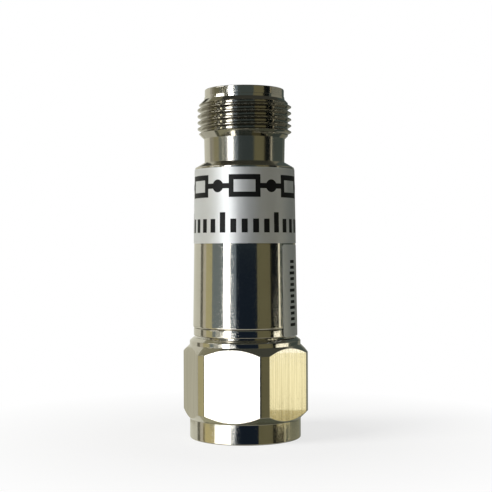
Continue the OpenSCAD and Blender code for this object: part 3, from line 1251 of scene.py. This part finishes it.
@dataclass
class SerialLabel(FoilLabel):
    """The narrow label over the barrel's lower joint, printed with a column of short bars."""

    bars: int = 12
    bar_h: float = 0.5
    long_bar: float = 1.9
    short_bar: float = 1.5
    first_z: float = 18.9
    spacing: float = 0.95

    def build(self) -> None:
        """Builds the film and prints its column of bars."""
        super().build()
        column = self.ink()
        for k in range(self.bars):
            half = (self.short_bar if k % 3 else self.long_bar) / 2
            z = self.first_z + self.spacing * k
            column.plate(-half, half, z, z + self.bar_h)
        self.print_row(column, "serial_bars", 1, 0.0)


@dataclass(frozen=True)
class Card:
    """An upright card that only metal mirrors, by azimuth from the front and height in mm."""

    name: str
    left: float
    right: float
    tone: str
    strength: float = 1.0
    low: float = -300.0
    high: float = 300.0
    high_tone: str | None = None
    nearer: float = 0.0


@dataclass
class Studio:
    """Camera, pale floor, soft lamps and the cards that the metal mirrors."""

    lens: float = 80.3
    camera_mm: tuple[float, float, float] = (0.2, -186.0, 32.2)
    roll_deg: float = 0.2
    card_r: float = 320.0
    facet_deg: float = 4.0
    blend_mm: tuple[float, float] = (35.0, 90.0)
    lid_share: float = 1.05
    floor_mm: float = 3000.0
    shadow_mm: tuple[float, float] = (20.0, 60.0)
    shadow_veil: float = 0.75
    ambient: float = 0.06
    aim_mm: float = 30.0

    def cards(self) -> list[Card]:
        """Lists the cards from the back, left round the front to the right.

        Returns:
            The cards, the bright ones among dim grey, olive and blue ones.
        """
        return [
            Card("pale wall", -180, -116, "#DFDECF"),
            Card("post", -116, -106, "#727064", high_tone="#B4B0A4"),
            Card("shelf", -106, -96, "#CFC9B7", high_tone="#928F7C"),
            Card("straw blind", -96, -77, "#C4BD92", high_tone="#7C7962"),
            Card("grey screen", -77, -46, "#7F898B", high_tone="#757669"),
            Card("soft box", -47, -33, "#FFFFFF", 7.0, nearer=4),
            Card("screen edge", -37, -19, "#7F8B95"),
            Card("dark drape", -19, 27, "#1B2430", high_tone="#4A5351"),
            Card("olive board", 27, 58, "#726E53"),
            Card("doorway", 58, 79, "#111516"),
            Card("cream blind", 80, 84, "#FFF8E0", 1.5, -14, 110, "#857D68", nearer=4),
            Card("lamp strip", -64.5, -61.5, "#FFF8D8", 6.0, 84, 94, nearer=4),
            Card("pale shelf", 86, 140, "#8E8D80", low=98.5, nearer=2),
            Card("green wall", 79, 140, "#4B5450"),
            Card("corner", 140, 180, "#8A8B7E", high_tone="#4D5652"),
            Card("pale dado", -180, -125, "#C3C1AF", low=-47, high=-13, nearer=8),
            Card("pale skirting", -115, 115, "#BDBBB0", low=-300, high=-130, nearer=10),
            Card("dark cornice", -180, -155, "#4A4A42", low=150, nearer=8),
            Card("white sill", -65, -29, "#FFFDF6", 3.2, -120, -46, nearer=8),
            Card("white panel", -40, -20, "#FFFFFF", 4.0, -45, -13, nearer=12),
            Card("cream panel", 66, 104, "#FFF7CC", 1.4, -40.3, -15, nearer=8),
            Card("tan dado", 66, 104, "#DDCF96", low=-46.5, high=-40.3, nearer=8),
            Card("bright pane", 66, 99, "#FFFBEA", 1.9, -15, -9, nearer=8),
            Card("narrow pane", 66, 82, "#FFFBEA", 1.9, -9, -5, nearer=8),
            Card("pale ledge", -68, -46, "#DCDACB", low=-15, high=-4.8, nearer=6),
            Card("white ledge", -56, -46, "#FFFDF4", 1.5, -15, -4.8, nearer=8),
            Card("straw foot", -88, -65, "#D9CB93", low=-120, high=-46.6, nearer=6),
            Card("brown foot", -97, -90, "#8C8062", low=-120, high=-46.6, nearer=6),
            Card("dark foot", 58, 86, "#24241F", low=-120, high=-46.6, nearer=6),
            Card("cream foot", 86, 91, "#B5B091", low=-120, high=-46.6, nearer=6),
            Card("grey foot", 98, 150, "#908F78", low=-120, high=-46.6, nearer=2),
            Card("label glow", -90, -62, "#FFFDF8", 4.6, 145, 210, nearer=2),
            Card("veiled box", -50, -31, "#FFFFFF", 1.3, 54, 76, nearer=6),
        ]

    def set_camera(self) -> None:
        """Sets up the camera at the photograph's viewing angle."""
        data = bpy.data.cameras.new("camera")
        data.lens, data.sensor_width = self.lens, 36.0
        data.clip_start, data.clip_end = 0.005, 20.0
        camera = bpy.data.objects.new("camera", data)
        camera.location = [c * MM for c in self.camera_mm]
        camera.rotation_euler = Euler((math.pi / 2, math.radians(self.roll_deg), 0.0))
        bpy.context.scene.collection.objects.link(camera)
        bpy.context.scene.camera = camera

    def backdrop_share(self, tree: NodeTree) -> Node:
        """Gives 1 for camera, glossy and transmission rays and 0 for the rest.

        Args:
            tree: the node tree of a material or the world.

        Returns:
            The node with that number.
        """
        found = work_out(
            tree,
            dict(add_node(tree, "ShaderNodeLightPath").outputs.items()),
            ("seen", "MAXIMUM", "Is Camera Ray", "Is Glossy Ray"),
            ("shown", "MAXIMUM", "seen", "Is Transmission Ray"),
        )
        return found["shown"]

    def set_world(self) -> None:
        """Makes the surroundings white to the eye and dimmer as light."""
        world = bpy.data.worlds.new("studio")
        bpy.context.scene.world = world
        tree = fresh_tree(world)
        span = {"Value": self.backdrop_share(tree), "To Min": self.ambient, "To Max": 1.0}
        level = add_node(tree, "ShaderNodeMapRange", span)
        light = add_node(tree, "ShaderNodeBackground", {"Color": linear("#FFFFFF"), "Strength": level})
        add_node(tree, "ShaderNodeOutputWorld", {"Surface": light})

    def set_floor(self) -> None:
        """Lays the pale floor, which keeps a soft shadow."""
        paper = bpy.data.materials.new("paper, white")
        tree = fresh_tree(paper)
        lit = add_node(tree, "ShaderNodeBsdfDiffuse", {"Color": linear("#F6F5F2")})
        plain = add_node(tree, "ShaderNodeEmission", {"Color": linear("#FFFFFF"), "Strength": 1.0})
        place = add_node(tree, "ShaderNodeTexCoord").outputs["Object"]
        away = add_node(tree, "ShaderNodeVectorMath", {0: place}, operation="LENGTH").outputs[1]
        near, far = (reach * MM for reach in self.shadow_mm)
        span = {"Value": away, "From Min": near, "From Max": far, "To Min": self.shadow_veil}
        known = {"backdrop": self.backdrop_share(tree), "fade": add_node(tree, "ShaderNodeMapRange", span)}
        share = work_out(tree, known, ("share", "MULTIPLY", "backdrop", "fade"))["share"]
        mixed = add_node(tree, "ShaderNodeMixShader", {0: share, 1: lit, 2: plain})
        add_node(tree, "ShaderNodeOutputMaterial", {"Surface": mixed})
        side = self.floor_mm
        floor = self.level_sheet("floor", (-side, side), (-side, side), 0.0, paper)
        floor.visible_glossy = False

    def set_lamps(self) -> None:
        """Hangs the soft lamps: a key from the left, a fill from the right and one overhead."""
        for name, place, watts, size in (
            ("key lamp", (-0.62, -0.3, 0.42), 5.5, 0.35),
            ("fill lamp", (0.55, -0.45, 0.3), 0.1, 0.4),
            ("top lamp", (0.0, 0.05, 0.75), 0.8, 0.6),
        ):
            data = bpy.data.lights.new(name, "AREA")
            data.energy, data.size = watts, size
            lamp = bpy.data.objects.new(name, data)
            x, y, z = lamp.location = place
            off_plumb = math.atan2(math.hypot(x, y), z - self.aim_mm * MM)
            lamp.rotation_euler = Euler((off_plumb, 0.0, math.atan2(x, -y)))
            lamp.visible_glossy = False
            bpy.context.scene.collection.objects.link(lamp)

    def card_material(self, card: Card) -> Material:
        """Makes a card's even glow, which may change towards its upper part.

        Args:
            card: the card.

        Returns:
            Its material.
        """
        made = bpy.data.materials.new(f"card, {card.name}")
        tree = fresh_tree(made)
        place = add_node(tree, "ShaderNodeTexCoord").outputs["Object"]
        height = add_node(tree, "ShaderNodeSeparateXYZ", {0: place}).outputs["Z"]
        low, high = (edge * MM for edge in self.blend_mm)
        share = add_node(tree, "ShaderNodeMapRange", {"Value": height, "From Min": low, "From Max": high})
        mix = {0: share, 6: linear(card.tone), 7: linear(card.high_tone or card.tone)}
        tones = add_node(tree, "ShaderNodeMix", mix, data_type="RGBA").outputs[2]
        glow = add_node(tree, "ShaderNodeEmission", {"Color": tones, "Strength": card.strength})
        add_node(tree, "ShaderNodeOutputMaterial", {"Surface": glow})
        return made

    def sheet(
        self,
        name: str,
        places: Sequence[tuple[float, float, float]],
        faces: Sequence[tuple[int, ...]],
        material: Material,
    ) -> Object:
        """Puts up a sheet of the studio.

        Args:
            name: the sheet's name.
            places: its points in millimetres.
            faces: its faces.
            material: its material.

        Returns:
            The sheet.
        """
        mesh = bpy.data.meshes.new(name)
        mesh.from_pydata([(x * MM, y * MM, z * MM) for x, y, z in places], [], faces)
        mesh.materials.append(material)
        sheet = bpy.data.objects.new(name, mesh)
        bpy.context.scene.collection.objects.link(sheet)
        return sheet

    def level_sheet(
        self, name: str, x: tuple[float, float], y: tuple[float, float], z: float, material: Material
    ) -> Object:
        """Puts up a level rectangle.

        Args:
            name: the sheet's name.
            x: its left and right sides.
            y: its front and back sides.
            z: its height.
            material: its material.

        Returns:
            The sheet.
        """
        places = [(x[0], y[0], z), (x[1], y[0], z), (x[1], y[1], z), (x[0], y[1], z)]
        return self.sheet(name, places, [(0, 1, 2, 3)], material)

    def upright_sheet(self, card: Card) -> Object:
        """Puts up a card, bent round the object.

        Args:
            card: the card.

        Returns:
            The sheet.
        """
        radius = self.card_r - card.nearer
        count = max(2, math.ceil((card.right - card.left) / self.facet_deg))
        places = []
        for k in range(count + 1):
            turn = math.radians(card.left + (card.right - card.left) * k / count)
            x, y = radius * math.sin(turn), -radius * math.cos(turn)
            places += [(x, y, z) for z in (card.low, card.high)]
        faces = [(2 * k, 2 * k + 2, 2 * k + 3, 2 * k + 1) for k in range(count)]
        return self.sheet(f"card {card.name}", places, faces, self.card_material(card))

    def set_cards(self) -> None:
        """Puts up the cards, a ceiling and a table top with paler parts, for glossy rays alone."""
        sheets = [self.upright_sheet(card) for card in self.cards()]
        side = self.card_r * self.lid_share
        for name, x, y, z, tone in (
            ("ceiling", (-side, side), (-side, side), 300.0, "#4C4D46"),
            ("ceiling panel", (-280.0, -110.0), (30.0, side), 296.0, "#97947C"),
            ("table top", (-side, side), (-side, side), -300.0, "#5E6152"),
            ("tray", (-240.0, -45.0), (-side, side), -296.0, "#B2B094"),
            ("table cloth", (-side, side), (-side, -60.0), -294.0, "#BDBBB0"),
        ):
            material = self.card_material(Card(name, 0, 0, tone))
            sheets.append(self.level_sheet(f"card {name}", x, y, z, material))
        for sheet in sheets:
            sheet.visible_camera = sheet.visible_diffuse = sheet.visible_shadow = False
            sheet.visible_transmission = False

    def build(self) -> None:
        """Sets up the whole studio."""
        bpy.context.scene.view_settings.view_transform = "Standard"
        self.set_camera()
        self.set_world()
        self.set_floor()
        self.set_lamps()
        self.set_cards()


def main() -> None:
    """Builds the studio and the pieces in order."""
    logging.basicConfig(level=logging.INFO, format="%(name)s: %(message)s")
    thread = ThreadForm()
    Studio().build()
    barrel = Barrel()
    barrel.build()
    Jack(thread).build()
    Plug().build()
    CouplingNut(thread).build()
    RatingLabel(barrel, "rating_label", 346.0, 0.0).build()
    SerialLabel(barrel, "serial_label", 37.4, 64.3).build()
    dress("attenuator_chip", ALUMINA)
    dress("carrier_front", CARRIER_METAL)
    dress("carrier_back", CARRIER_METAL)


if __name__ == "__main__":
    main()
